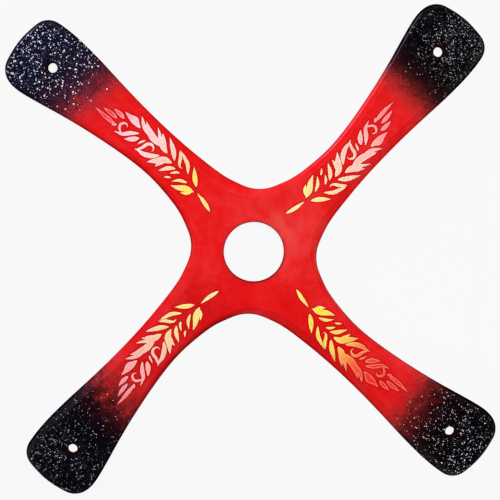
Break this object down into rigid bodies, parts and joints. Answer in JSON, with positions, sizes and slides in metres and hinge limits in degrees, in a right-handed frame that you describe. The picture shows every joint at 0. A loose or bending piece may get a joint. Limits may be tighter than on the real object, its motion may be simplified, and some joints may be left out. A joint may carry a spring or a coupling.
{
  "type": "boomerang",
  "caption": "Right-handed four-blade plywood boomerang with shaped edges, a big centre hole and a small hole through each flared blade tip.",
  "frame": {"origin": "centre of the big centre hole on the flat back face", "axes": "+Z out of the painted front face; the four blades point along +X, +Y, -X and -Y; the leading edge of each blade is on its counterclockwise side seen from the front"},
  "size_m": [0.3082, 0.3082, 0.004],
  "materials": {
    "painted_birch": "satin red lacquer with black misted tips over birch veneer",
    "birch_veneer": "peeled birch veneer, its sanded edge under the paint"
  },
  "bodies": {
    "root": {"back_face_veneer": "painted_birch", "back_crossband": "birch_veneer", "back_long_band": "birch_veneer", "back_core_veneer": "birch_veneer", "front_core_veneer": "birch_veneer", "front_long_band": "birch_veneer", "front_crossband": "birch_veneer", "front_face_veneer": "painted_birch"}
  },
  "joints": []
}
